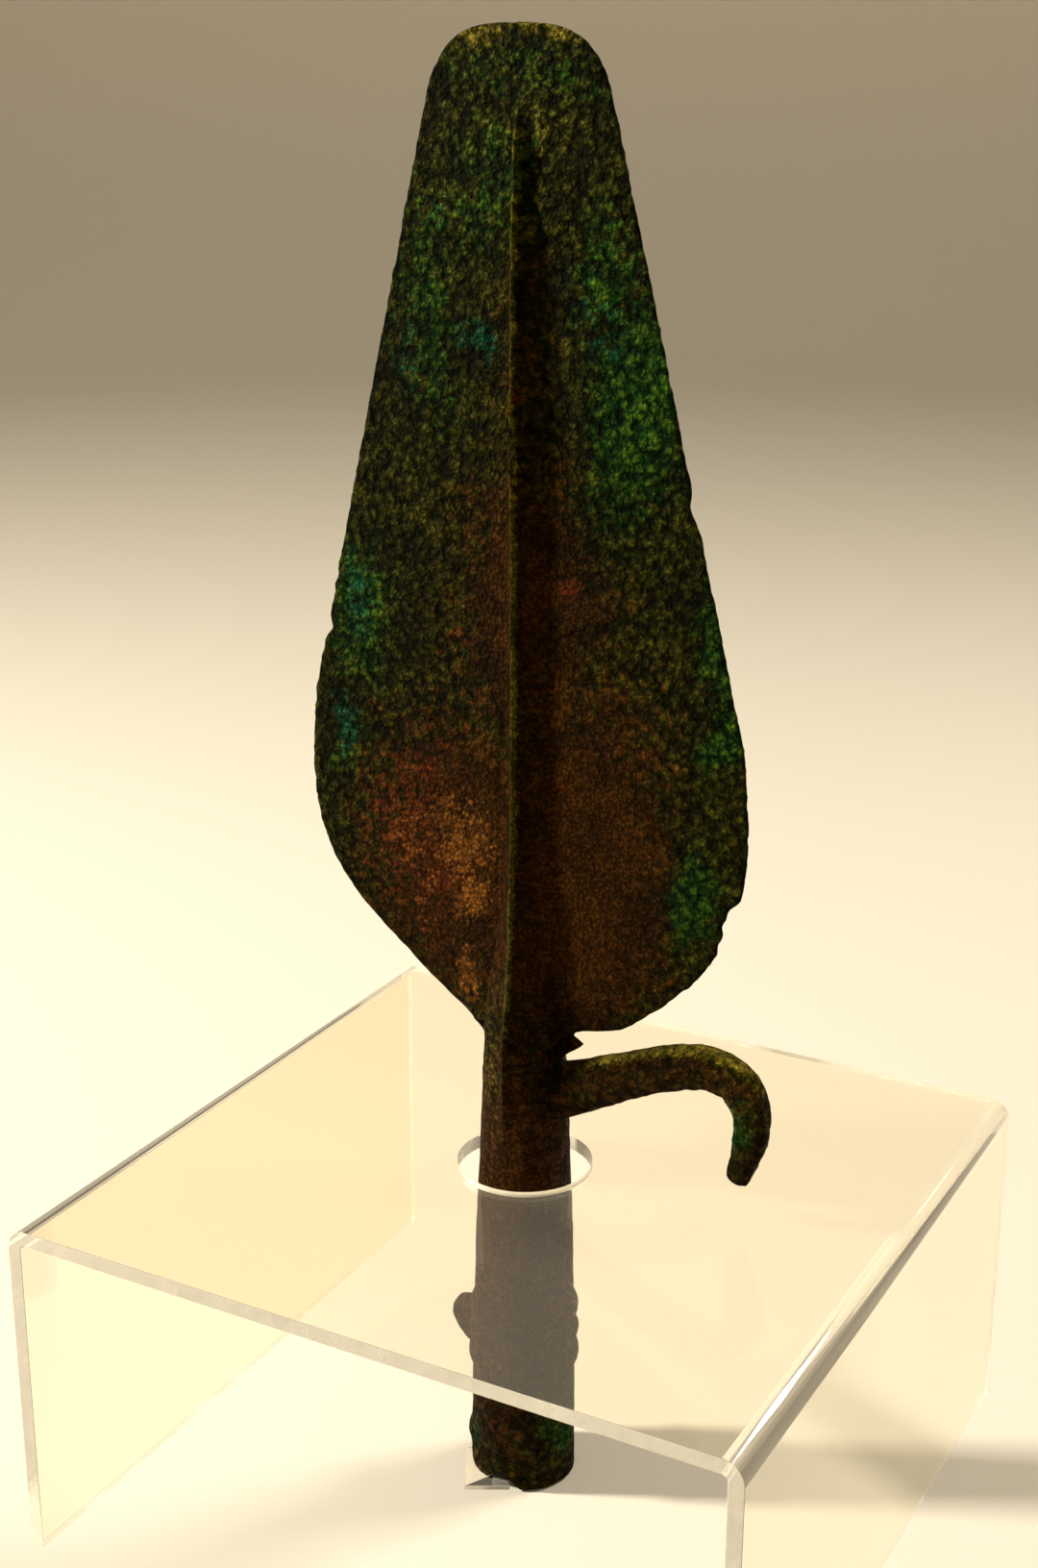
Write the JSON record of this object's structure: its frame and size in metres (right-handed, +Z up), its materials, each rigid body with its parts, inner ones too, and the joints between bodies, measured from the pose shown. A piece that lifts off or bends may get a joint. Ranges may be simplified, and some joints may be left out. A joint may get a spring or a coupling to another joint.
{
  "type": "bronze spearhead",
  "caption": "Large leaf-shaped cast spearhead with a midrib, a hollow socket and a barb hook, held upright in a clear bridge stand.",
  "frame": {"origin": "on the surface that everything rests on, under the middle of the stand", "axes": "+Z up from the mouth of the socket to the tip of the blade; +X along the blade's width, towards the hook; -Y the front, where the stand is open"},
  "size_m": [0.324, 0.305, 0.615],
  "materials": {
    "bronze": "dark olive-brown corroded bronze, matt and grainy, with green, turquoise and rust patches",
    "acrylic": "clear polished acrylic"
  },
  "bodies": {
    "root": {"spearhead": "bronze", "acrylic_stand": "acrylic", "acrylic_shim": "acrylic"}
  },
  "joints": []
}
